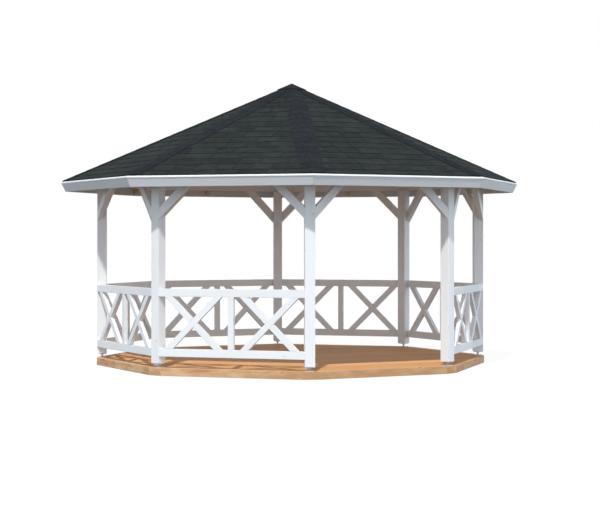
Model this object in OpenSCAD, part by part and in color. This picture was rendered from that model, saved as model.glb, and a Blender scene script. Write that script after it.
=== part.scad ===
// Open octagonal garden gazebo: a raised timber deck, eight painted posts on
// adjustable steel feet, seven crossed-bar railings, knee braces under a ring
// of beams, and a shingled roof of eight slopes.
// Millimetres, +Z up. The origin is on the ground, below the middle of the
// deck. The open entrance bay faces -Y.

/* [Plan] */
// Distance from the middle of the gazebo to the middle of each post
post_radius = 2350; // [1900:10:2850]
// Width of a square post
post_w = 115; // [90:1:140]

/* [Deck] */
// Height of the deck's top above the ground
deck_height = 88; // [70:1:120]
// Thickness of the deck boards
deck_board_t = 27; // [20:1:35]
// Gap between the deck boards and the edging around them
deck_gap = 3; // [1:1:6]
// Thickness of the edging boards
edging_t = 28; // [18:1:40]
// How far the edging stands out past the railings' outer faces
edging_reveal = 18; // [0:1:30]
// Length of the short edging board across each corner
corner_board_l = 190; // [120:5:240]
// Width of a floor joist
joist_w = 45; // [35:1:60]
// Number of floor joists
joist_count = 9; // [5:2:13]

/* [Post feet] */
// Gap between the deck and the underside of a post
foot_gap = 48; // [36:1:70]
// Thickness of a foot's steel plates
foot_plate_t = 6; // [4:1:10]
// How much narrower than the post a foot's plates are, in all
foot_plate_margin = 17; // [5:1:40]
// Diameter of a foot's threaded rod
foot_rod_d = 20; // [14:1:30]
// Width of a foot's nut across its corners
foot_nut_d = 36; // [32:1:44]
// Height of a foot's nut
foot_nut_h = 15; // [10:1:22]

/* [Railings] */
// Thickness of the railing bars, and of the whole panel
rail_t = 45; // [30:1:70]
// Height of the top and bottom rails
rail_h = 90; // [60:1:110]
// Gap between the deck and the bottom rail
rail_lift = 130; // [80:5:200]
// Height of the top rail's upper edge above the deck
rail_top = 900; // [800:10:1100]
// Width of the crossed bars and of the middle upright
rail_bar_w = 70; // [45:1:90]

/* [Beams and braces] */
// Height of the beams' underside above the deck
beam_clear = 2120; // [1950:10:2600]
// Thickness of a beam
beam_w = 70; // [45:1:90]
// Height of a beam
beam_h = 120; // [90:5:180]
// Width of a knee brace across its length
brace_w = 90; // [60:1:110]
// Thickness of a knee brace
brace_t = 60; // [40:1:70]
// Height of a brace's lower edge, where it meets the post, below the beam
brace_drop = 440; // [300:10:600]

/* [Roof] */
// Slope of the roof
roof_pitch = 24.8; // [18:0.1:32]
// How far the eave reaches out past the beams' outer faces
eave_overhang = 392; // [250:1:500]
// Thickness of the roof boards
roof_board_t = 19; // [15:1:28]
// Width of a rafter
rafter_w = 45; // [35:1:60]
// Depth of a rafter, square to the roof
rafter_d = 90; // [70:1:120]
// Depth of the notch with which the rafters seat on the beams
rafter_seat = 22; // [10:1:30]
// Distance across the flats of the hub where the rafters meet
hub_flats = 250; // [240:1:320]
// Height of the hub
hub_h = 190; // [150:5:300]
// Depth of the fascia with its trim, square to the roof
fascia_h = 127; // [110:1:160]
// Thickness of a fascia board
fascia_t = 20; // [15:1:30]
// Thickness of the trim strip on the fascia's top edge
trim_t = 12; // [8:1:18]
// Distance from the trim's outer edge to the lowest edge of the shingles
shingle_inset = 16; // [5:1:20]
// Thickness of a layer of shingles
shingle_t = 6; // [4:1:10]
// Width of the shingle strip folded over each hip
hip_cap_w = 260; // [200:5:320]
// Distance from the apex to the lower edges of the cap on it
apex_cap_r = 170; // [120:5:260]
// Gap between the pieces that meet along a hip
hip_gap = 2; // [1:0.5:4]

/* [Hidden] */
$fn = 64;

sides = 8;
turn = 360 / sides;
half = turn / 2;

painted = "#e9edf0";
deck_wood = "#c9a078";
steel = "#9a9fa3";
roof_pine = "#b9a184";
shingle_grey = "#3c4143";

// The bays' outer faces pass through the posts' outer corners
face = post_radius * cos(half) + post_w / 2 * (cos(half) + sin(half));
// Half the clear width of a bay, at its outer face
bay_half = post_radius * sin(half) - post_w / 2 * (cos(half) - sin(half));

deck_face = face + edging_reveal;
corner_face = (deck_face - corner_board_l / 2 * sin(half)) / cos(half);
joist_h = deck_height - deck_board_t;

foot_plate_w = post_w - foot_plate_margin;
post_bottom = deck_height + foot_gap;
beam_bottom = deck_height + beam_clear;
beam_top = beam_bottom + beam_h;

// Height of the roof boards' top above the bays' outer faces, at the eave and at the apex
roof_at_face = beam_top - rafter_seat + (rafter_d + roof_board_t) / cos(roof_pitch);
eave = face + eave_overhang;
eave_z = roof_at_face - eave_overhang * tan(roof_pitch);
apex_z = eave_z + eave * tan(roof_pitch);
// Length of a roof slope up its middle, and the slope of the hips
slope_l = eave / cos(roof_pitch);
hip_pitch = atan(tan(roof_pitch) * cos(half));
// Radius that reaches past every corner of the eave
far = 2 * eave;

// Post i is left of bay i, seen from outside, and bay 1 is the entrance
module at_bay(i) rotate([0, 0, -90 + turn * (i - 1)]) children();
module at_post(i) rotate([0, 0, -90 - half + turn * (i - 1)]) children();

// The plan of the deck with its corners cut off, inset square to every edge
function corner_half(inset) =
    (deck_face - inset - (corner_face - inset) * cos(half)) / sin(half);
module deck_plan(inset)
    polygon([for (i = [0:sides - 1], s = [-1, 1])
        let (a = half + turn * i, c = corner_face - inset, h = s * corner_half(inset))
            [c * cos(a) - h * sin(a), c * sin(a) + h * cos(a)]]);

// Everything between the two upright planes through a bay's posts, less half a gap at each
module bay_wedge(gap) {
    start = gap / 2 / sin(half);
    translate([start, 0, 0]) linear_extrude(far)
        polygon([[0, 0], [far, far * tan(half)], [far, -far * tan(half)]]);
}

// A strip that runs along a bay's eave: points are [distance up the slope from the
// eave, depth below the roof boards' top], and the strip is cut to the bay
module slope_strip(points, gap)
    intersection() {
        bay_wedge(gap);
        translate([eave, 0, eave_z]) rotate([90, 0, 0])
            linear_extrude(far, center = true)
                polygon([for (p = points)
                    [-p[0] * cos(roof_pitch) - p[1] * sin(roof_pitch),
                     p[0] * sin(roof_pitch) - p[1] * cos(roof_pitch)]]);
    }
module slope_layer(from_l, to_l, top, bottom, gap)
    slope_strip([[from_l, top], [to_l, top], [to_l, bottom], [from_l, bottom]], gap);

// Everything on the inner side of a line square to a bay's slope, and below a height
// above the roof boards' top
module under_slope(from_l, height)
    translate([eave, 0, eave_z]) rotate([0, roof_pitch, 0])
        translate([-from_l - far, -far, height - far]) cube([far, 2 * far, far]);

module floor_joists() {
    pitch = 2 * (deck_face - edging_t) / joist_count;
    color(deck_wood) intersection() {
        linear_extrude(joist_h) deck_plan(edging_t);
        for (k = [0:joist_count - 1])
            translate([(k - (joist_count - 1) / 2) * pitch - joist_w / 2, -far / 2, 0])
                cube([joist_w, far, joist_h]);
    }
}

module deck_boards()
    color(deck_wood) translate([0, 0, joist_h])
        linear_extrude(deck_board_t) deck_plan(edging_t + deck_gap);

// Ends are mitred, so each outline runs from the outer corners to the inset ones
module deck_edges() {
    function end(inset) = (corner_face - inset) * sin(half) - corner_half(inset) * cos(half);
    color(deck_wood) for (i = [1:sides]) at_bay(i) linear_extrude(deck_height)
        polygon([[deck_face, end(0)], [deck_face, -end(0)],
                 [deck_face - edging_t, -end(edging_t)], [deck_face - edging_t, end(edging_t)]]);
}

module deck_corners()
    color(deck_wood) for (i = [1:sides]) at_post(i) linear_extrude(deck_height)
        polygon([[corner_face, corner_half(0)], [corner_face, -corner_half(0)],
                 [corner_face - edging_t, -corner_half(edging_t)],
                 [corner_face - edging_t, corner_half(edging_t)]]);

module foot_plate(z)
    translate([-foot_plate_w / 2, -foot_plate_w / 2, z])
        cube([foot_plate_w, foot_plate_w, foot_plate_t]);

module post_feet()
    color(steel) for (i = [1:sides]) at_post(i) translate([post_radius, 0, 0]) {
        foot_plate(deck_height);
        foot_plate(post_bottom - foot_plate_t);
        translate([0, 0, deck_height]) cylinder(h = foot_gap, d = foot_rod_d);
        translate([0, 0, post_bottom - foot_plate_t - foot_nut_h])
            cylinder(h = foot_nut_h, d = foot_nut_d, $fn = 6);
    }

module post(i)
    color(painted) at_post(i) translate([post_radius - post_w / 2, -post_w / 2, post_bottom])
        cube([post_w, post_w, beam_bottom - post_bottom]);

// The room between two posts, from the bay's outer face in to a depth, cut
// off where the posts' own faces are
module between_posts(depth, low, high) {
    inner = bay_half - depth * tan(half);
    translate([0, 0, low]) linear_extrude(high - low)
        polygon([[face, bay_half], [face, -bay_half], [face - depth, -inner], [face - depth, inner]]);
}

// A bar of a bay's panel in the upright plane: middle at (y, z), turned by an angle
module bay_bar(y, z, angle, length, width, depth)
    translate([face - depth, y, z]) rotate([angle, 0, 0])
        translate([0, -length / 2, -width / 2]) cube([depth, length, width]);

module railing(i) {
    low = deck_height + rail_lift;
    high = deck_height + rail_top;
    clear_h = high - low - 2 * rail_h;
    mid_z = (low + high) / 2;
    // Middle of each cross, between the upright and the post
    cross_y = (bay_half + rail_bar_w / 2) / 2;
    // Where a 45 degree bar is cut off level by the rails above and below it
    bar_l = clear_h * sqrt(2) + 2 * rail_bar_w;
    color(painted) at_bay(i) union() {
        between_posts(rail_t, low, low + rail_h);
        between_posts(rail_t, high - rail_h, high);
        bay_bar(0, mid_z, 90, clear_h, rail_bar_w, rail_t);
        intersection() {
            between_posts(rail_t, low + rail_h, high - rail_h);
            union() for (side = [-1, 1], angle = [-45, 45])
                bay_bar(side * cross_y, mid_z, angle, bar_l, rail_bar_w, rail_t);
        }
    }
}

// Beams rest on the posts and are mitred over them
module beam(i)
    color(painted) at_bay(i) intersection() {
        bay_wedge(0);
        translate([face - beam_w, -far / 2, beam_bottom]) cube([beam_w, far, beam_h]);
    }

module braces(i) {
    // Height and place of the middle line, which runs at 45 degrees
    mid_drop = brace_drop - brace_w / sqrt(2);
    color(painted) at_bay(i) intersection() {
        between_posts(brace_t, beam_bottom - brace_drop - brace_t, beam_bottom);
        union() for (side = [-1, 1])
            bay_bar(side * (bay_half - mid_drop / 2), beam_bottom - mid_drop / 2,
                    -side * 45, 2 * brace_drop, brace_w, brace_t);
    }
}

// The beams' own outline, cut out of the rafters where they seat
module beam_ring() for (i = [1:sides]) beam(i);

module hub_plan(gap)
    polygon([for (k = [0:2 * sides - 1]) let (a = half / 2 + half * k)
        (hub_flats / 2 + gap) / cos(half / 2) * [cos(a), sin(a)]]);

// Each hip rafter's top is bevelled to lie under the boards on both sides of the hip
module hip_rafters() {
    bevel = rafter_w / 2 * tan(roof_pitch) * sin(half) * cos(hip_pitch);
    top = roof_board_t / cos(roof_pitch) * cos(hip_pitch);
    hip_corner = eave / cos(half);
    color(roof_pine) difference() {
        for (i = [1:sides]) intersection() {
            at_post(i) translate([hip_corner, 0, eave_z]) rotate([0, hip_pitch, 0])
                rotate([0, -90, 0]) linear_extrude(hip_corner / cos(hip_pitch))
                    polygon([[-top, 0], [-top - bevel, rafter_w / 2],
                             [-top - rafter_d, rafter_w / 2], [-top - rafter_d, -rafter_w / 2],
                             [-top - bevel, -rafter_w / 2]]);
            at_bay(i) under_slope(fascia_t, 0);
            at_bay(i - 1) under_slope(fascia_t, 0);
        }
        beam_ring();
        linear_extrude(far) hub_plan(0);
    }
}

module bay_rafters()
    color(roof_pine) difference() {
        for (i = [1:sides]) at_bay(i) intersection() {
            slope_layer(fascia_t, slope_l, roof_board_t, roof_board_t + rafter_d, 0);
            translate([0, -rafter_w / 2, 0]) cube([far, rafter_w, far]);
        }
        beam_ring();
        linear_extrude(far) hub_plan(0);
    }

// The hub's top is cut to the slopes, under the roof boards
module roof_hub() {
    under_apex = apex_z - roof_board_t / cos(roof_pitch);
    color(roof_pine) intersection() {
        translate([0, 0, under_apex - hub_h]) linear_extrude(hub_h) hub_plan(0);
        under_slopes([1:sides], fascia_t, -roof_board_t);
    }
}

module roof_boards()
    color(roof_pine) for (i = [1:sides]) at_bay(i)
        slope_layer(fascia_t, slope_l + far / 4, 0, roof_board_t, hip_gap);

module fascia()
    color(painted) for (i = [1:sides]) at_bay(i)
        slope_layer(0, fascia_t, trim_t, fascia_h, hip_gap);

// The trim's outer face is upright, so it stands a little proud of the fascia
module eave_trim()
    color("white") for (i = [1:sides]) at_bay(i)
        slope_strip([[0, 0], [fascia_t, 0], [fascia_t, trim_t],
                     [-trim_t * tan(roof_pitch), trim_t]], hip_gap);

module shingles()
    color(shingle_grey) for (i = [1:sides]) at_bay(i)
        slope_layer(shingle_inset, slope_l + far / 4, -shingle_t, 0, hip_gap);

// What is below all of the named bays' slopes
module under_slopes(bays, from_l, height)
    intersection_for (i = bays) at_bay(i) under_slope(from_l, height);

// The strip folded over each hip, cut to half a bay near the apex
module hip_caps() {
    start = hip_gap / 2 / sin(half);
    tip = hip_cap_w / 2 / tan(half) + start;
    color(shingle_grey) for (i = [1:sides]) intersection() {
        difference() {
            under_slopes([i - 1, i], shingle_inset, 2 * shingle_t);
            under_slopes([i - 1, i], 0, shingle_t);
        }
        at_post(i) linear_extrude(far)
            polygon([[start, 0], [tip, hip_cap_w / 2], [far, hip_cap_w / 2],
                     [far, -hip_cap_w / 2], [tip, -hip_cap_w / 2]]);
    }
}

module apex_cap()
    color(shingle_grey) difference() {
        intersection() {
            under_slopes([1:sides], shingle_inset, 3 * shingle_t);
            linear_extrude(far) polygon([for (i = [1:sides]) let (a = half + turn * i)
                apex_cap_r / cos(half) * [cos(a), sin(a)]]);
        }
        under_slopes([1:sides], 0, 2 * shingle_t);
    }

floor_joists();
deck_boards();
deck_edges();
deck_corners();
post_feet();
post(1);  // post_1
post(2);  // post_2
post(3);  // post_3
post(4);  // post_4
post(5);  // post_5
post(6);  // post_6
post(7);  // post_7
post(8);  // post_8
railing(2);  // railing_2
railing(3);  // railing_3
railing(4);  // railing_4
railing(5);  // railing_5
railing(6);  // railing_6
railing(7);  // railing_7
railing(8);  // railing_8
beam(1);  // beam_1
beam(2);  // beam_2
beam(3);  // beam_3
beam(4);  // beam_4
beam(5);  // beam_5
beam(6);  // beam_6
beam(7);  // beam_7
beam(8);  // beam_8
braces(1);  // braces_1
braces(2);  // braces_2
braces(3);  // braces_3
braces(4);  // braces_4
braces(5);  // braces_5
braces(6);  // braces_6
braces(7);  // braces_7
braces(8);  // braces_8
hip_rafters();
bay_rafters();
roof_hub();
roof_boards();
fascia();
eave_trim();
shingles();
hip_caps();
apex_cap();
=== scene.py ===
"""Looks for an open octagonal garden gazebo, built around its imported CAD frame. Metres, +Z up."""
import math
import random

import bmesh
import bpy
from mathutils import Matrix, Vector


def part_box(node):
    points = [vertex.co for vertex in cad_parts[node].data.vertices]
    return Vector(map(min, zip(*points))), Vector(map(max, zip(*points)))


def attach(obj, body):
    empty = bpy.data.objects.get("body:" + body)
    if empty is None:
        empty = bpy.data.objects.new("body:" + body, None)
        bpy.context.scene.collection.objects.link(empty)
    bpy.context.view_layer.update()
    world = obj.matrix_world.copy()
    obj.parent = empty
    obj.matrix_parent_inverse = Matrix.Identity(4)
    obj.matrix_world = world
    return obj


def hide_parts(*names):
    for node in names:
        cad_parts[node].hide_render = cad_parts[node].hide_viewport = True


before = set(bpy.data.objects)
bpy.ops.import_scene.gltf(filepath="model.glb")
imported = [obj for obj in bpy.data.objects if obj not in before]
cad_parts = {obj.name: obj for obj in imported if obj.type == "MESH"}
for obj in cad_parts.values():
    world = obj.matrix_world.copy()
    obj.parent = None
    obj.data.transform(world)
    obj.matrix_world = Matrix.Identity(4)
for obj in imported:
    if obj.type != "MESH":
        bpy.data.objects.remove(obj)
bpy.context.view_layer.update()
rng = random.Random(11)

# ---------------------------------------------------------------- sizes

SIDES = 8
TURN = 2 * math.pi / SIDES
HALF = TURN / 2
UP = Vector((0, 0, 1))
SHARP = math.radians(35)
MERGE_WITHIN = 1e-5
CUT_WITHIN = 1e-6
FLAT_ANGLE = 0.002
BEVEL_ANGLE = 0.1
RIM_ANGLE = 1.0
BOARD_BEVEL = 0.0025
BAR_BEVEL = 0.003
HEART_NEAR, HEART_FAR = 0.03, 0.09
GRAIN_LENGTH = 20

# Railing panels, read from the bay that faces +X
panel_low, panel_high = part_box("railing_3")
FACE = panel_high.x
BAY_HALF = panel_high.y
RAIL_T = panel_high.x - panel_low.x
RAIL_LOW, RAIL_HIGH = panel_low.z, panel_high.z
RAIL_H = 0.090
RAIL_SPARE = 0.1
BAR_W = 0.070

# Deck
DECK_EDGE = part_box("deck_boards")[1].x
DECK_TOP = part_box("deck_boards")[1].z
DECK_BOARD_W = 0.116
DECK_BOARD_GAP = 0.004
SCREW_INSET = 0.028
SCREW_MARGIN = 0.03
SCREW_R = 0.0042

# Post feet
FOOT_HALF = 0.049
FOOT_PLATE_T = 0.006
FOOT_CORNER_R = 0.008
FOOT_RIM = 0.0008
ROD_R = 0.010
THREAD_PITCH = 0.0025
THREAD_DEPTH = 0.0012
NUT_R, NUT_CROWN_R = 0.0178, 0.0150
NUT_H, NUT_CROWN_H = 0.015, 0.0015
WASHER_R, WASHER_CROWN_R = 0.0185, 0.0175
WASHER_T, WASHER_CROWN_H = 0.0025, 0.0005
FOOT_SCREW_R = 0.0065
FOOT_SCREW_AT = 0.034

# Roof slopes: the boards' top plane and the shingles on it
PITCH = math.radians(24.8)
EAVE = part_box("eave_trim")[1].x
EAVE_Z = 2.2449
SLOPE = EAVE / math.cos(PITCH)
APEX_Z = EAVE_Z + EAVE * math.tan(PITCH)
ROOF_BOARD_W = 0.096
ROOF_BOARD_GAP = 0.0008
SHINGLE_START = 0.016
FIRST_COURSE = 0.134
COURSE = 0.1635
LAP = 0.040
SHINGLE_T = 0.0035
SHINGLE_CLEAR = 0.0004
TAB_GAP = 0.004
TAB_WIDTHS = (0.20, 0.25, 0.25, 0.333)
TAB_RAGGED = 0.0012
TAB_UNEVEN = 0.0007
UNDERLAY_LIFTS = (0.0003, 0.0001)
CAP_HALF = 0.130
CAP_LIFT = 0.0085
CAP_T = 0.0025
CAP_FOLD = 0.0012
CAP_UNEVEN = 0.0004
APEX_CAP_R = 0.170
APEX_CAP_LIFTS = (CAP_LIFT + 0.0082, CAP_LIFT + 0.0125)

# ---------------------------------------------------------------- solids


def bay_turn(bay):
    """Turns a bay's own frame (x out, y along the bay, z up) to where the bay is."""
    return Matrix.Rotation(-math.pi / 2 + TURN * (bay - 1), 4, "Z")


def post_turn(post):
    """Turns a post's own frame (x out, y across, z up) to where the post is."""
    return Matrix.Rotation(-math.pi / 2 - HALF + TURN * (post - 1), 4, "Z")


def block(low, high):
    """A box between two corners."""
    solid = bmesh.new()
    bmesh.ops.create_cube(solid, size=1.0)
    for vert in solid.verts:
        vert.co = Vector(high[k] if vert.co[k] > 0 else low[k] for k in range(3))
    return solid


def clip(solid, point, normal):
    """Cuts away what is in front of a plane and closes the cut."""
    geometry = solid.verts[:] + solid.edges[:] + solid.faces[:]
    cut = bmesh.ops.bisect_plane(solid, geom=geometry, plane_co=point, plane_no=normal,
                                 clear_outer=True, dist=CUT_WITHIN)
    rim = [part for part in cut["geom_cut"] if isinstance(part, bmesh.types.BMEdge)]
    if rim:
        bmesh.ops.contextual_create(solid, geom=rim)


def island(seed):
    """Every vertex joined to one vertex."""
    found, todo = {seed}, [seed]
    while todo:
        for edge in todo.pop().link_edges:
            for vert in edge.verts:
                if vert not in found:
                    found.add(vert)
                    todo.append(vert)
    return found


def copy_of(verts):
    """A new solid with the faces of some vertices of another."""
    solid = bmesh.new()
    made = {vert: solid.verts.new(vert.co) for vert in verts}
    for face in {face for vert in verts for face in vert.link_faces}:
        solid.faces.new([made[vert] for vert in face.verts])
    return solid


def cad_solids(node):
    """A CAD node's separate solids. Flat faces are made whole, and loose ones are left out."""
    whole = bmesh.new()
    whole.from_mesh(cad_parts[node].data)
    bmesh.ops.remove_doubles(whole, verts=whole.verts[:], dist=MERGE_WITHIN)
    bmesh.ops.dissolve_limit(whole, angle_limit=FLAT_ANGLE, verts=whole.verts[:],
                             edges=whole.edges[:])
    fins = [face for face in whole.faces if any(edge.is_boundary for edge in face.edges)]
    bmesh.ops.delete(whole, geom=fins, context="FACES")
    left, solids = set(whole.verts), []
    for vert in whole.verts:
        if vert in left:
            found = island(vert)
            left -= found
            solids.append(copy_of(sorted(found, key=lambda v: v.index)))
    whole.free()
    return solids


def longest_edge(solid):
    """The direction of a solid's longest edge."""
    edge = max(solid.edges, key=lambda e: e.calc_length())
    return (edge.verts[1].co - edge.verts[0].co).normalized()


def middle(solid):
    """The mean of a solid's corners."""
    return sum((vert.co for vert in solid.verts), Vector()) / len(solid.verts)


def link(name, data):
    """A new object in the scene."""
    made = bpy.data.objects.new(name, data)
    bpy.context.scene.collection.objects.link(made)
    return made


class Piece:
    """A growing mesh. Each solid in it has grain coordinates, a tone and marked faces."""

    def __init__(self):
        self.mesh = bmesh.new()
        self.grain = self.mesh.verts.layers.float_vector.new("grain")
        self.tone = self.mesh.verts.layers.float.new("tone")
        self.edge = self.mesh.faces.layers.float.new("edge")

    def add(self, solid, along, tone=None, marked=()):
        """Copies a solid in. The grain's x runs along it, and its y and z start near its heart."""
        bmesh.ops.recalc_face_normals(solid, faces=solid.faces[:])
        tone = rng.random() if tone is None else tone
        across = along.cross(UP) if abs(along.z) < 0.9 else along.cross(Vector((1, 0, 0)))
        across.normalize()
        third = along.cross(across)
        heart = rng.uniform(HEART_NEAR, HEART_FAR)
        spin = rng.uniform(0, 2 * math.pi)
        start = Vector((rng.uniform(0, GRAIN_LENGTH), heart * math.cos(spin), heart * math.sin(spin)))
        centre = middle(solid)
        made = {}
        for vert in solid.verts:
            new = made[vert] = self.mesh.verts.new(vert.co)
            from_centre = vert.co - centre
            new[self.grain] = start + Vector([from_centre.dot(d) for d in (along, across, third)])
            new[self.tone] = tone
        marked = set(marked)
        for face in solid.faces:
            new = self.mesh.faces.new([made[vert] for vert in face.verts])
            new[self.edge] = 1.0 if face in marked else 0.0
            new.smooth = face.smooth
        solid.free()

    def timber(self, solid, bevel, along=None):
        """Rounds a timber's edges, where it has a bevel, and copies it in."""
        along = along or longest_edge(solid)
        rounded = []
        if bevel:
            solid.normal_update()
            sharp = [edge for edge in solid.edges if edge.calc_face_angle(0) > BEVEL_ANGLE]
            cut = bmesh.ops.bevel(solid, geom=sharp, offset=bevel, segments=2, profile=0.5,
                                  affect="EDGES", clamp_overlap=True)
            rounded = cut["faces"]
        for face in solid.faces:
            face.smooth = False
        self.add(solid, along, marked=rounded)

    def finish(self, name, slot, material, *nodes):
        """Makes the object, which stands for some CAD nodes."""
        self.mesh.normal_update()
        for edge in self.mesh.edges:
            edge.smooth = edge.calc_face_angle(0) < SHARP
        mesh = bpy.data.meshes.new(name)
        self.mesh.to_mesh(mesh)
        self.mesh.free()
        mesh.materials.append(material)
        made = link(name, mesh)
        if nodes:
            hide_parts(*nodes)
        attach(made, "root")


def sheet(piece, top, bottom, along, tone):
    """Adds a closed slab between two grids of points. Its rim is marked."""
    solid = bmesh.new()
    over = [[solid.verts.new(point) for point in row] for row in top]
    under = [[solid.verts.new(point) for point in row] for row in bottom]
    rows, columns = len(over), len(over[0])
    for r in range(rows - 1):
        for c in range(columns - 1):
            for grid in (over, under):
                solid.faces.new((grid[r][c], grid[r][c + 1], grid[r + 1][c + 1], grid[r + 1][c]))
    ring = [(0, c) for c in range(columns)] + [(r, columns - 1) for r in range(1, rows)]
    ring += [(rows - 1, c) for c in range(columns - 2, -1, -1)] + [(r, 0) for r in range(rows - 2, 0, -1)]
    rim = []
    for (r0, c0), (r1, c1) in zip(ring, ring[1:] + ring[:1]):
        rim.append(solid.faces.new((over[r0][c0], over[r1][c1], under[r1][c1], under[r0][c0])))
    piece.add(solid, along, tone, rim)


def lathe(piece, place, profile, steps=24, smooth=True):
    """Adds a solid turned from (radius, height) points round a place's own z."""
    solid = bmesh.new()
    rings = []
    for radius, height in profile:
        ring = []
        for k in range(steps):
            angle = 2 * math.pi * k / steps
            point = Vector((radius * math.cos(angle), radius * math.sin(angle), height))
            ring.append(solid.verts.new(place @ point))
        rings.append(ring)
    for low, high in zip(rings, rings[1:]):
        for k in range(steps):
            n = (k + 1) % steps
            face = solid.faces.new((low[k], low[n], high[n], high[k]))
            face.smooth = smooth
    solid.faces.new(rings[0])
    solid.faces.new(rings[-1])
    piece.add(solid, (place.to_3x3() @ UP).normalized())


def screw(piece, place, radius):
    """Adds a countersunk screw head with a round recess. The place's z points out of the wood."""
    profile = [(radius * 0.55, -0.0015), (radius, 0.0), (radius * 0.93, 0.0005),
               (radius * 0.50, 0.0005), (radius * 0.42, -0.0008)]
    lathe(piece, place, profile, steps=8, smooth=False)


# ---------------------------------------------------------------- materials


class Shade:
    """Short calls that build one procedural material."""

    def __init__(self, name):
        self.material = bpy.data.materials.new(name)
        self.material.use_nodes = True
        self.tree = self.material.node_tree
        self.shader = self.tree.nodes["Principled BSDF"]
        self.grain = self.attribute("grain").outputs["Vector"]
        self.tone = self.attribute("tone").outputs["Fac"]
        self.edge = self.attribute("edge").outputs["Fac"]

    def put(self, socket, value):
        if isinstance(value, bpy.types.NodeSocket):
            self.tree.links.new(value, socket)
        else:
            socket.default_value = value

    def node(self, kind, inputs, **settings):
        made = self.tree.nodes.new("ShaderNode" + kind)
        for key, value in settings.items():
            setattr(made, key, value)
        for key, value in inputs.items():
            self.put(made.inputs[key], value)
        return made

    def attribute(self, name):
        return self.node("Attribute", {}, attribute_name=name)

    def math(self, operation, a, b=0.0):
        return self.node("Math", {0: a, 1: b}, operation=operation).outputs[0]

    def times(self, a, b):
        return self.math("MULTIPLY", a, b)

    def stretch(self, scale):
        return self.node("VectorMath", {0: self.grain, 1: scale}, operation="MULTIPLY").outputs[0]

    def noise(self, scale, detail=3.0, roughness=0.5):
        """Noise of about 0 to 1. The scale is in patches per metre along, across and through."""
        inputs = {"Vector": self.stretch(scale), "Scale": 1.0, "Detail": detail, "Roughness": roughness}
        return self.node("TexNoise", inputs).outputs[0]

    def cells(self, scale, output="Distance"):
        inputs = {"Vector": self.stretch(scale), "Scale": 1.0}
        return self.node("TexVoronoi", inputs).outputs[output]

    def ramp(self, value, low, high, out_low=0.0, out_high=1.0):
        return self.node("MapRange", {0: value, 1: low, 2: high, 3: out_low, 4: out_high}).outputs[0]

    def mix(self, factor, a, b):
        inputs = {0: factor, 6: (*a, 1.0) if isinstance(a, tuple) else a,
                  7: (*b, 1.0) if isinstance(b, tuple) else b}
        return self.node("Mix", inputs, data_type="RGBA").outputs[2]

    def rings(self, gap):
        """Growth rings of about 0 to 1, which sway round the heart."""
        sway = self.noise((1.3, 7, 7), 3.0)
        radius = self.node("VectorMath", {0: self.stretch((0, 1, 1))}, operation="LENGTH").outputs["Value"]
        swayed = self.math("ADD", radius, self.times(sway, 0.018))
        wave = self.math("SINE", self.times(swayed, 2 * math.pi / gap))
        return self.ramp(wave, -1.0, 1.0)

    def knots(self, scale, size):
        """Round knots: 1 inside and 0 outside."""
        warp = self.times(self.noise((60, 60, 60), 2.0), 0.02)
        distance = self.math("ADD", self.cells(scale), warp)
        return self.ramp(distance, size, size * 0.6)

    def bump(self, height, distance):
        inputs = {"Height": height, "Distance": distance, "Strength": 1.0}
        return self.node("Bump", inputs).outputs[0]

    def done(self, colour, roughness, normal, **sockets):
        self.put(self.shader.inputs["Base Color"], colour)
        self.put(self.shader.inputs["Roughness"], roughness)
        self.put(self.shader.inputs["Normal"], normal)
        for name, value in sockets.items():
            self.put(self.shader.inputs[name.replace("_", " ")], value)
        return self.material


def painted_timber(name, paint, thin, wood):
    """Opaque paint over planed softwood, thin over the late wood, the knots and the edges."""
    s = Shade(name)
    ring, fibre = s.rings(gap=0.005), s.noise((5, 260, 260), detail=3.0)
    knot = s.knots((3.2, 5.5, 5.5), size=0.085)
    patch = s.noise((2.0, 9, 9), 4.0)
    colour = s.mix(s.ramp(patch, 0.35, 0.75, 0.0, 0.35), paint, thin)
    colour = s.mix(s.times(s.ramp(ring, 0.6, 1.0), 0.16), colour, thin)
    colour = s.mix(s.ramp(s.tone, 0.0, 1.0, 0.0, 0.25), colour, thin)
    colour = s.mix(s.times(knot, 0.38), colour, wood)
    worn = s.times(s.edge, s.ramp(s.noise((18, 50, 50), 4.0), 0.56, 0.70, 0.0, 0.55))
    colour = s.mix(worn, colour, wood)
    height = s.math("ADD", s.times(ring, 0.35), s.times(fibre, 0.8))
    height = s.math("SUBTRACT", height, s.times(knot, 0.5))
    rough = s.ramp(s.math("ADD", s.times(fibre, 0.5), s.times(patch, 0.5)), 0.3, 0.7, 0.38, 0.58)
    return s.done(colour, rough, s.bump(height, distance=0.0006), Specular_IOR_Level=0.35)


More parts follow.
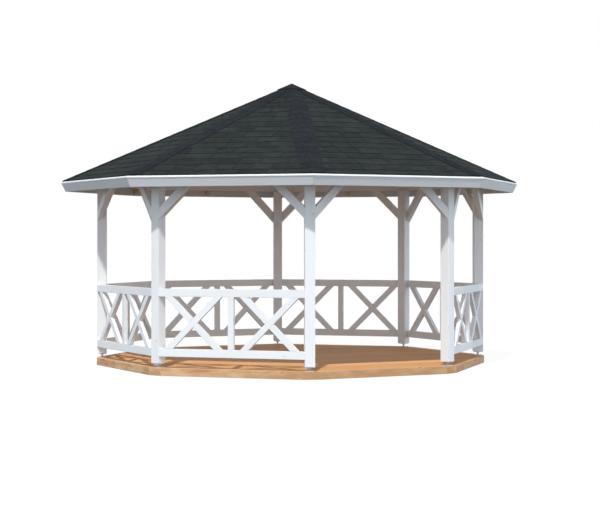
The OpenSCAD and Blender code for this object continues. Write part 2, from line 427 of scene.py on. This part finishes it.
def bare_timber(name, light, dark, knot_colour, wear, spread, blotch):
    """Bare softwood with rings, fibres, knots and small drying cracks.

    Spread is how much the boards differ, and blotch how much a board differs along its length.
    """
    s = Shade(name)
    ring, fibre = s.rings(gap=0.006), s.noise((4, 200, 200), detail=4.0)
    knot = s.knots((3.0, 6, 6), size=0.11)
    patch = s.noise((1.5, 8, 8), 4.0)
    colour = s.mix(s.ramp(ring, 0.25, 1.0), light, dark)
    colour = s.mix(s.ramp(fibre, 0.40, 0.70, 0.0, 0.45), colour, dark)
    colour = s.mix(s.ramp(patch, 0.40, 0.75, 0.0, 0.40), colour, wear)
    cloud = s.noise((3.5, 10, 10), 3.0, 0.6)
    colour = s.mix(s.ramp(cloud, 0.42, 0.66, 0.0, blotch), colour, dark)
    colour = s.mix(s.ramp(cloud, 0.52, 0.34, 0.0, blotch), colour, wear)
    colour = s.mix(s.ramp(s.tone, 0.0, 1.0, 0.0, spread), colour, dark)
    colour = s.mix(s.times(knot, 0.85), colour, knot_colour)
    crack = s.ramp(s.noise((1.6, 130, 130), 2.0), 0.72, 0.76)
    colour = s.mix(s.times(crack, 0.6), colour, knot_colour)
    colour = s.mix(s.times(s.edge, 0.25), colour, wear)
    height = s.math("ADD", s.times(ring, 0.5), s.times(fibre, 0.9))
    height = s.math("SUBTRACT", height, s.times(crack, 1.6))
    rough = s.ramp(s.math("ADD", fibre, s.times(patch, 0.4)), 0.4, 1.0, 0.55, 0.80)
    return s.done(colour, rough, s.bump(height, distance=0.0009), Specular_IOR_Level=0.3)


def granule_felt(name, dark, light, bitumen):
    """Bitumen felt under mineral granules; its cut edges are plain bitumen."""
    s = Shade(name)
    granule = s.cells((420, 420, 420), "Color")
    grit = s.noise((150, 150, 150), 2.0)
    patch, streak = s.noise((6, 11, 11), 4.0, 0.6), s.noise((2.5, 30, 30), 3.0, 0.6)
    tab_share, patch_share, streak_share = 0.18, 0.70, 0.70
    level = s.math("ADD", s.times(s.tone, tab_share), s.times(patch, patch_share))
    level = s.math("ADD", level, s.times(streak, streak_share))
    colour = s.mix(s.ramp(level, 0.50, 1.10), dark, light)
    single = s.node("SeparateColor", {0: granule}).outputs[0]
    colour = s.mix(s.ramp(single, 0.72, 1.0, 0.0, 0.55), colour, light)
    colour = s.mix(s.ramp(single, 0.28, 0.0, 0.0, 0.60), colour, bitumen)
    colour = s.mix(s.edge, colour, bitumen)
    height = s.math("ADD", s.times(single, 0.6), s.times(grit, 0.8))
    rough, normal = s.ramp(grit, 0.3, 0.7, 0.78, 0.95), s.bump(height, distance=0.0008)
    return s.done(colour, rough, normal, Specular_IOR_Level=0.04)


def zinc_steel(name):
    """Dull zinc plating with faint crystals and darker hollows."""
    s = Shade(name)
    flake = s.node("SeparateColor", {0: s.cells((160, 160, 160), "Color")}).outputs[0]
    stain = s.noise((30, 30, 30), 4.0)
    colour = s.mix(flake, (0.58, 0.60, 0.62), (0.76, 0.78, 0.79))
    colour = s.mix(s.ramp(stain, 0.50, 0.75, 0.0, 0.5), colour, (0.34, 0.34, 0.33))
    rough = s.ramp(s.math("ADD", flake, stain), 0.4, 1.4, 0.34, 0.62)
    return s.done(colour, rough, s.bump(stain, distance=0.0003), Metallic=0.7)


WHITE = painted_timber("white_paint", paint=(0.83, 0.845, 0.86), thin=(0.73, 0.745, 0.76),
                       wood=(0.50, 0.44, 0.36))
# The eave trim's white paint is made lighter than the frame's white paint: a painted highlight for the
# sunlit trim strip.
HIGHLIT_TRIM_PAINT = painted_timber("trim_paint_painted_highlight", paint=(0.93, 0.94, 0.95), thin=(0.86, 0.87, 0.88),
                      wood=(0.60, 0.56, 0.50))
SPRUCE = bare_timber("spruce", light=(0.78, 0.59, 0.36), dark=(0.62, 0.44, 0.25),
                     knot_colour=(0.25, 0.14, 0.07), wear=(0.70, 0.55, 0.38), spread=0.35, blotch=0.20)
DECKING = bare_timber("decking", light=(0.92, 0.53, 0.235), dark=(0.60, 0.28, 0.105),
                      knot_colour=(0.16, 0.07, 0.03), wear=(0.72, 0.42, 0.20), spread=0.85, blotch=0.15)
EDGING = bare_timber("edging", light=(0.72, 0.44, 0.23), dark=(0.44, 0.23, 0.11),
                     knot_colour=(0.14, 0.07, 0.035), wear=(0.74, 0.52, 0.31), spread=0.45, blotch=0.55)
FELT = granule_felt("felt", dark=(0.012, 0.015, 0.015), light=(0.040, 0.046, 0.045),
                    bitumen=(0.006, 0.007, 0.008))
CAP_FELT = granule_felt("cap_felt", dark=(0.012, 0.014, 0.017), light=(0.028, 0.032, 0.036),
                        bitumen=(0.012, 0.014, 0.016))
ZINC = zinc_steel("zinc")

# ---------------------------------------------------------------- deck


def build_plain(node, slot, material, bevel):
    """A node whose CAD solids are right: they get rounded edges and a grain."""
    piece = Piece()
    for solid in cad_solids(node):
        piece.timber(solid, bevel)
    piece.finish(node + "_timber", slot, material, node)


def on_deck(point, margin):
    """Whether a point is on the deck boards, clear of their outline by a margin."""
    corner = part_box("deck_corners")[1].x
    flats = [bay_turn(k) @ Vector((1, 0, 0)) for k in range(1, SIDES + 1)]
    return all(point.dot(out) < DECK_EDGE - margin for out in flats) and point.length < corner - margin


def build_deck_boards():
    piece, screws = Piece(), Piece()
    plate = cad_solids("deck_boards")[0]
    low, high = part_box("deck_boards")
    joists = sorted(middle(solid).x for solid in cad_solids("floor_joists"))
    count = round((high.y - low.y) / (DECK_BOARD_W + DECK_BOARD_GAP))
    pitch = (high.y - low.y + DECK_BOARD_GAP) / count
    for k in range(count):
        near = low.y + k * pitch
        far = near + pitch - DECK_BOARD_GAP
        board = plate.copy()
        if k > 0:
            clip(board, Vector((0, near, 0)), Vector((0, -1, 0)))
        if k < count - 1:
            clip(board, Vector((0, far, 0)), Vector((0, 1, 0)))
        piece.timber(board, BOARD_BEVEL, Vector((1, 0, 0)))
        for x in joists:
            for y in (near + SCREW_INSET, far - SCREW_INSET):
                if on_deck(Vector((x, y, 0)), SCREW_MARGIN):
                    screw(screws, Matrix.Translation((x, y, DECK_TOP)), SCREW_R)
    plate.free()
    piece.finish("deck_board_rows", "deck_timber", DECKING, "deck_boards")
    screws.finish("deck_screws", "galvanised_steel", ZINC)


def foot_plate(piece, place, low):
    """A square plate with round corners."""
    plate = block((-FOOT_HALF, -FOOT_HALF, low), (FOOT_HALF, FOOT_HALF, low + FOOT_PLATE_T))
    upright = [edge for edge in plate.edges if abs(edge.verts[0].co.z - edge.verts[1].co.z) > 0.001]
    bmesh.ops.bevel(plate, geom=upright, offset=FOOT_CORNER_R, segments=4, profile=0.5, affect="EDGES")
    rims = [edge for edge in plate.edges if edge.calc_face_angle(0) > RIM_ANGLE]
    bmesh.ops.bevel(plate, geom=rims, offset=FOOT_RIM, segments=1, profile=0.5, affect="EDGES")
    bmesh.ops.transform(plate, matrix=place, verts=plate.verts[:])
    piece.add(plate, Vector((1, 0, 0)))


def foot_rod(piece, place, low, high):
    """A threaded rod between two heights."""
    profile = []
    for k in range(int((high - low) / THREAD_PITCH)):
        z = low + k * THREAD_PITCH
        profile += [(ROD_R - THREAD_DEPTH, z), (ROD_R, z + THREAD_PITCH / 2)]
    profile.append((ROD_R - THREAD_DEPTH, high))
    lathe(piece, place, profile)


def build_foot(piece, place):
    """A steel foot: two plates, a threaded rod, a hexagonal nut, a washer and screws."""
    low, high = DECK_TOP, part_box("post_1")[0].z
    foot_plate(piece, place, low)
    foot_plate(piece, place, high - FOOT_PLATE_T)
    low, high = low + FOOT_PLATE_T, high - FOOT_PLATE_T
    foot_rod(piece, place, low, high)
    nut = [(NUT_CROWN_R, -NUT_H), (NUT_R, NUT_CROWN_H - NUT_H), (NUT_R, -NUT_CROWN_H), (NUT_CROWN_R, 0.0)]
    lathe(piece, place, [(r, high + z) for r, z in nut], 6, False)
    washer = [(WASHER_CROWN_R, 0.0), (WASHER_R, WASHER_CROWN_H), (WASHER_R, WASHER_T - WASHER_CROWN_H),
              (WASHER_CROWN_R, WASHER_T)]
    lathe(piece, place, [(r, low + z) for r, z in washer], 28, False)
    for x in (-1, 1):
        for y in (-1, 1):
            spot = place @ Matrix.Translation((x * FOOT_SCREW_AT, y * FOOT_SCREW_AT, low))
            screw(piece, spot, FOOT_SCREW_R)


def build_feet():
    piece = Piece()
    low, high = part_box("post_1")
    reach = ((low + high) / 2).xy.length
    for post in range(1, SIDES + 1):
        build_foot(piece, post_turn(post) @ Matrix.Translation((reach, 0, 0)))
    piece.finish("post_feet_steel", "galvanised_steel", ZINC, "post_feet")


# ---------------------------------------------------------------- railings


def cut_at_posts(solid):
    """Cuts a bar's ends to the two posts' faces, in the bay's own frame."""
    for side in (-1, 1):
        clip(solid, Vector((FACE, side * BAY_HALF, 0)), Vector((-math.sin(HALF), side * math.cos(HALF), 0)))


def cross_bar(centre, lean, part):
    """A bar of a cross: the whole of it (0), or its half on one side of the bar it meets."""
    length = 2 * (RAIL_HIGH - RAIL_LOW)
    bar = block((FACE - RAIL_T, -length, -BAR_W / 2), (FACE, length, BAR_W / 2))
    place = Matrix.Translation(centre) @ Matrix.Rotation(lean * math.pi / 4, 4, "X")
    bmesh.ops.transform(bar, matrix=place, verts=bar.verts[:])
    clip(bar, Vector((0, 0, RAIL_HIGH - RAIL_H)), UP)
    clip(bar, Vector((0, 0, RAIL_LOW + RAIL_H)), -UP)
    along = place.to_3x3() @ Vector((0, 1, 0))
    if part:
        clip(bar, centre + along * part * BAR_W / 2, -part * along)
    return bar, along


def build_railing(bay):
    piece = Piece()
    turn = bay_turn(bay)

    def put(solid, along):
        bmesh.ops.transform(solid, matrix=turn, verts=solid.verts[:])
        piece.timber(solid, BAR_BEVEL, turn.to_3x3() @ along)

    for low in (RAIL_LOW, RAIL_HIGH - RAIL_H):
        rail = block((FACE - RAIL_T, -BAY_HALF - RAIL_SPARE, low),
                     (FACE, BAY_HALF + RAIL_SPARE, low + RAIL_H))
        cut_at_posts(rail)
        put(rail, Vector((0, 1, 0)))
    upright = block((FACE - RAIL_T, -BAR_W / 2, RAIL_LOW + RAIL_H), (FACE, BAR_W / 2, RAIL_HIGH - RAIL_H))
    put(upright, UP)
    for side in (-1, 1):
        centre = Vector((0, side * (BAY_HALF + BAR_W / 2) / 2, (RAIL_LOW + RAIL_HIGH) / 2))
        for lean, part in ((1, 0), (-1, -1), (-1, 1)):
            put(*cross_bar(centre, lean, part))
    name = f"railing_{bay}"
    piece.finish(name + "_bars", "white_timber", WHITE, name)


# ---------------------------------------------------------------- roof


def on_slope(bay, across, up, lift):
    """A point on a bay's slope: up it from the eave, and lifted square off the roof boards."""
    reach = EAVE - up * math.cos(PITCH) + lift * math.sin(PITCH)
    height = EAVE_Z + up * math.sin(PITCH) + lift * math.cos(PITCH)
    return bay_turn(bay) @ Vector((reach, across, height))


def slope_half(up):
    """Half the width of a slope at a distance up it."""
    return (EAVE - up * math.cos(PITCH)) * math.tan(HALF)


def nearest_bay(point):
    """The bay that a point is in."""
    return 1 + round((math.atan2(point.y, point.x) + math.pi / 2) / TURN) % SIDES


def build_roof_boards():
    piece = Piece()
    for plate in cad_solids("roof_boards"):
        bay = nearest_bay(middle(plate))
        turn = bay_turn(bay).to_3x3()
        rise = turn @ Vector((-math.cos(PITCH), 0, math.sin(PITCH)))
        count = int(SLOPE / ROOF_BOARD_W)
        for k in range(count):
            board = plate.copy()
            if k > 0:
                clip(board, on_slope(bay, 0, k * ROOF_BOARD_W, 0), -rise)
            if k < count - 1:
                clip(board, on_slope(bay, 0, (k + 1) * ROOF_BOARD_W - ROOF_BOARD_GAP, 0), rise)
            piece.timber(board, BOARD_BEVEL, turn @ Vector((0, 1, 0)))
        plate.free()
    piece.finish("roof_board_rows", "roof_timber", SPRUCE, "roof_boards")


def shingle_lift(share):
    """How far a shingle's underside is off the boards, at a share of its length from its lower edge."""
    return SHINGLE_T * (COURSE + LAP) / COURSE * (1 - share) + SHINGLE_CLEAR


def underlay(piece, bay):
    """A thin felt on a slope's boards, which shows in the joints between tabs."""
    from_edge, from_apex, from_hip = 0.004, 0.05, 0.003
    low, high = SHINGLE_START + from_edge, SLOPE - from_apex
    grids = []
    for lift in UNDERLAY_LIFTS:
        grids.append([[on_slope(bay, side * (slope_half(up) - from_hip), up, lift) for side in (-1, 0, 1)]
                      for up in (low, high)])
    sheet(piece, *grids, bay_turn(bay).to_3x3() @ Vector((0, 1, 0)), 0.0)


def shingle_tab(piece, bay, left, right, low, high, tone):
    """One tab: a thin slab, a little uneven, that lies on the course below it."""
    from_hip = 0.002
    top, bottom = [], []
    for r in range(3):
        up = low + (high - low) * r / 2
        edge = slope_half(up) - from_hip
        row_left, row_right = max(left, -edge), min(right, edge)
        over, under = [], []
        for c in range(4):
            across = row_left + (row_right - row_left) * c / 3
            ragged = rng.uniform(-TAB_RAGGED, TAB_RAGGED) if r == 0 else 0.0
            lift = shingle_lift(r / 2)
            uneven = rng.uniform(0.0, TAB_UNEVEN)
            over.append(on_slope(bay, across, up + ragged, lift + SHINGLE_T + uneven))
            under.append(on_slope(bay, across, up + ragged, lift))
        top.append(over)
        bottom.append(under)
    sheet(piece, top, bottom, bay_turn(bay).to_3x3() @ Vector((0, 1, 0)), tone)


def tab_edges(half):
    """Where the joints of a course are, from its left end to its right end."""
    edges = [-half - rng.uniform(0.0, 0.25)]
    while edges[-1] < half:
        edges.append(edges[-1] + rng.choice(TAB_WIDTHS))
    return edges


def build_shingles():
    """Courses of tabs up each slope. A tab too narrow at either end to make is left out."""
    last_low, last_high, least_low, least_high = 0.12, 0.02, 0.03, 0.012
    piece = Piece()
    for bay in range(1, SIDES + 1):
        underlay(piece, bay)
        low, next_low = SHINGLE_START, FIRST_COURSE + SHINGLE_START
        while low < SLOPE - last_low:
            high = min(next_low + LAP, SLOPE - last_high)
            strip_tone = rng.uniform(-0.12, 0.12)
            edges = tab_edges(slope_half(low))
            for left, right in zip(edges, edges[1:]):
                reach = slope_half(low) - least_low
                if right - TAB_GAP < -reach or left > reach:
                    continue
                limit = slope_half(high) - least_high
                if left > limit or right < -limit:
                    continue
                tone = min(1.0, max(0.0, rng.random() ** 1.3 + strip_tone))
                shingle_tab(piece, bay, left, right - TAB_GAP, low, high, tone)
            low, next_low = next_low, next_low + COURSE
    piece.finish("shingle_courses", "bitumen_shingle", FELT, "shingles")


def on_hip(post, reach, aside, lift):
    """A point by a hip: out from the axis in plan, aside from the hip, and off the boards."""
    drop = (reach * math.cos(HALF) + abs(aside) * math.sin(HALF)) * math.tan(PITCH)
    return post_turn(post) @ Vector((reach, aside, APEX_Z - drop + lift / math.cos(PITCH)))


def cap_row(post, reach, lift, follow_eave):
    """A row of points across a hip cap, rounded where it folds."""
    row = []
    half = min(CAP_HALF, reach * math.tan(HALF) * 0.96)
    for share in (-1.0, -0.5, -0.1, 0.0, 0.1, 0.5, 1.0):
        aside = share * half
        out = reach - abs(aside) * math.tan(HALF) if follow_eave else reach
        fold = -CAP_FOLD if share == 0.0 else 0.0
        row.append(on_hip(post, out, aside, lift + fold))
    return row


def build_hip_caps():
    """Lapped pieces folded over each hip, from the eave up to the apex cap."""
    last_reach, least_reach = 0.12, 0.07
    piece = Piece()
    hip_cos = math.cos(PITCH) / math.sqrt(math.cos(PITCH) ** 2 + (math.sin(PITCH) * math.cos(HALF)) ** 2)
    step = COURSE * hip_cos
    lap = LAP * hip_cos
    for post in range(1, SIDES + 1):
        reach = (EAVE - SHINGLE_START * math.cos(PITCH)) / math.cos(HALF)
        first = True
        while reach > last_reach:
            inner = max(reach - step - lap, least_reach)
            top, bottom = [], []
            for r in range(3):
                at = reach + (inner - reach) * r / 2
                lift = CAP_LIFT + CAP_T * (1 - r / 2) + rng.uniform(0.0, CAP_UNEVEN)
                follow = first and r == 0
                top.append(cap_row(post, at, lift + CAP_T, follow))
                bottom.append(cap_row(post, at, lift, follow))
            along = post_turn(post).to_3x3() @ Vector((1, 0, 0))
            sheet(piece, top, bottom, along, rng.uniform(0.0, 0.8))
            reach -= step
            first = False
    piece.finish("hip_cap_pieces", "bitumen_shingle", CAP_FELT, "hip_caps")


def build_apex_cap():
    """Eight folded facets over the tips of the hips."""
    piece = Piece()
    solid = bmesh.new()
    shells = []
    for lift in APEX_CAP_LIFTS:
        rings = []
        for share in (1.0, 0.5, 0.1):
            ring = []
            for k in range(2 * SIDES):
                on_post = k % 2 == 0
                reach = share * APEX_CAP_R / (math.cos(HALF) if on_post else 1.0)
                turn = post_turn(1 + k // 2) if on_post else bay_turn(1 + k // 2)
                drop = reach * (math.cos(HALF) if on_post else 1.0) * math.tan(PITCH)
                point = Vector((reach, 0, APEX_Z - drop + lift / math.cos(PITCH)))
                ring.append(solid.verts.new(turn @ point))
            rings.append(ring)
        tip = solid.verts.new((0, 0, APEX_Z + lift / math.cos(PITCH)))
        shells.append((rings, tip))
    count = 2 * SIDES
    for rings, tip in shells:
        for k in range(count):
            n = (k + 1) % count
            for outer, inner in zip(rings, rings[1:]):
                solid.faces.new((outer[k], outer[n], inner[n], inner[k]))
            solid.faces.new((rings[-1][k], rings[-1][n], tip))
    under, over = shells[0][0][0], shells[1][0][0]
    rim = [solid.faces.new((under[k], under[(k + 1) % count], over[(k + 1) % count], over[k]))
           for k in range(count)]
    piece.add(solid, Vector((1, 0, 0)), 0.3, rim)
    piece.finish("apex_cap_felt", "bitumen_shingle", CAP_FELT, "apex_cap")


# ---------------------------------------------------------------- put together

# Node, material slot, material and bevel
PLAIN = [("floor_joists", "deck_timber", EDGING, 0.003), ("deck_edges", "deck_timber", EDGING, 0.002),
         ("deck_corners", "deck_timber", EDGING, 0.002), ("hip_rafters", "roof_timber", SPRUCE, 0.003),
         ("bay_rafters", "roof_timber", SPRUCE, 0.003), ("roof_hub", "roof_timber", SPRUCE, 0.0),
         # The eave trim gets the lighter white paint, a painted highlight.
         ("fascia", "white_timber", WHITE, 0.002), ("eave_trim", "white_timber", HIGHLIT_TRIM_PAINT, 0.0015)]
for number in range(1, SIDES + 1):
    PLAIN.append((f"post_{number}", "white_timber", WHITE, 0.004))
    PLAIN.append((f"beam_{number}", "white_timber", WHITE, 0.004))
    PLAIN.append((f"braces_{number}", "white_timber", WHITE, 0.003))
for plain in PLAIN:
    build_plain(*plain)
build_deck_boards()
build_feet()
for number in range(2, SIDES + 1):
    build_railing(number)
build_roof_boards()
build_shingles()
build_hip_caps()
build_apex_cap()

# ---------------------------------------------------------------- floor, light and camera

FLOOR_HALF = 60.0
FLOOR_DROP = 0.001
FLOOR_COLOUR = (0.08, 0.08, 0.08, 1.0)
FLOOR_GLOW = 0.93
SUN_TURN = math.radians(36.5)
SUN_HEIGHT = math.radians(53.0)
SUN_POWER = 2.9
SUN_SPREAD = math.radians(2.5)
SUN_COLOUR = (1.0, 0.985, 0.96)
# Colours of the fill from straight below (0) to straight above (1)
FILL = ((0.0, (0.05, 0.05, 0.05)), (0.42, (0.20, 0.22, 0.24)), (0.5, (1.24, 1.32, 1.42)),
        (0.62, (1.02, 1.09, 1.16)), (1.0, (0.27, 0.32, 0.39)))
BRIGHT_SIDE = math.radians(60.0)
BRIGHT_SHARE = 0.20
CAMERA_TURN = math.radians(27.3)
CAMERA_FAR = 20.383
CAMERA_HEIGHT = 1.5525
SENSOR_W = 36.0
LENS = 98.1
SHIFT_X, SHIFT_Y = 0.0137, -0.0306
SEES_TO = 500.0


def build_floor():
    """A pale floor with a faint shadow. It throws no light back, so the world alone fills from below."""
    mesh = bpy.data.meshes.new("floor")
    corners = [(x * FLOOR_HALF, y * FLOOR_HALF, -FLOOR_DROP)
               for x, y in ((-1, -1), (1, -1), (1, 1), (-1, 1))]
    mesh.from_pydata(corners, [], [(0, 1, 2, 3)])
    floor = link("floor", mesh)
    floor.visible_diffuse = False
    floor.visible_glossy = False
    material = bpy.data.materials.new("floor_paint")
    material.use_nodes = True
    shader = material.node_tree.nodes["Principled BSDF"]
    shader.inputs["Base Color"].default_value = FLOOR_COLOUR
    shader.inputs["Roughness"].default_value = 0.9
    shader.inputs["Specular IOR Level"].default_value = 0.0
    shader.inputs["Emission Color"].default_value = (1.0, 1.0, 1.0, 1.0)
    shader.inputs["Emission Strength"].default_value = FLOOR_GLOW
    mesh.materials.append(material)


def build_world():
    """Soft fill, brightest from the sides, and a white backdrop for the camera."""
    world = bpy.data.worlds.new("studio")
    bpy.context.scene.world = world
    world.use_nodes = True
    tree = world.node_tree
    fill = tree.nodes["Background"]
    place = tree.nodes.new("ShaderNodeTexCoord")
    split = tree.nodes.new("ShaderNodeSeparateXYZ")
    ramp = tree.nodes.new("ShaderNodeValToRGB")
    for position, _ in FILL[2:]:
        ramp.color_ramp.elements.new(position)
    for element, (position, colour) in zip(ramp.color_ramp.elements, FILL):
        element.position = position
        element.color = (*colour, 1.0)
    shift = tree.nodes.new("ShaderNodeMath")
    shift.operation = "MULTIPLY_ADD"
    shift.inputs[1].default_value = 0.5
    shift.inputs[2].default_value = 0.5
    side = tree.nodes.new("ShaderNodeVectorMath")
    side.operation = "DOT_PRODUCT"
    side.inputs[1].default_value = (math.sin(BRIGHT_SIDE), -math.cos(BRIGHT_SIDE), 0.0)
    strength = tree.nodes.new("ShaderNodeMath")
    strength.operation = "MULTIPLY_ADD"
    strength.inputs[1].default_value = BRIGHT_SHARE
    strength.inputs[2].default_value = 1.0
    backdrop = tree.nodes.new("ShaderNodeBackground")
    backdrop.inputs["Color"].default_value = (1.0, 1.0, 1.0, 1.0)
    path = tree.nodes.new("ShaderNodeLightPath")
    mix = tree.nodes.new("ShaderNodeMixShader")
    for start, end in ((place.outputs["Generated"], split.inputs[0]),
                       (split.outputs["Z"], shift.inputs[0]),
                       (shift.outputs[0], ramp.inputs[0]),
                       (ramp.outputs["Color"], fill.inputs["Color"]),
                       (place.outputs["Generated"], side.inputs[0]),
                       (side.outputs["Value"], strength.inputs[0]),
                       (strength.outputs[0], fill.inputs["Strength"]),
                       (path.outputs["Is Camera Ray"], mix.inputs[0]),
                       (fill.outputs[0], mix.inputs[1]),
                       (backdrop.outputs[0], mix.inputs[2]),
                       (mix.outputs[0], tree.nodes["World Output"].inputs["Surface"])):
        tree.links.new(start, end)


def build_sun():
    sun = bpy.data.lights.new("sun", "SUN")
    sun.energy = SUN_POWER
    sun.angle = SUN_SPREAD
    sun.color = SUN_COLOUR
    lamp = link("sun", sun)
    toward = Vector((-math.sin(SUN_TURN) * math.cos(SUN_HEIGHT),
                     -math.cos(SUN_TURN) * math.cos(SUN_HEIGHT), math.sin(SUN_HEIGHT)))
    lamp.rotation_euler = toward.to_track_quat("Z", "Y").to_euler()


def build_camera():
    data = bpy.data.cameras.new("camera")
    data.sensor_width = SENSOR_W
    data.lens = LENS
    data.shift_x = SHIFT_X
    data.shift_y = SHIFT_Y
    data.clip_end = SEES_TO
    camera = link("camera", data)
    camera.location = (-math.sin(CAMERA_TURN) * CAMERA_FAR, -math.cos(CAMERA_TURN) * CAMERA_FAR,
                       CAMERA_HEIGHT)
    camera.rotation_euler = (math.pi / 2, 0.0, -CAMERA_TURN)
    bpy.context.scene.camera = camera


build_floor()
build_world()
build_sun()
build_camera()
bpy.context.scene.view_settings.view_transform = "Standard"
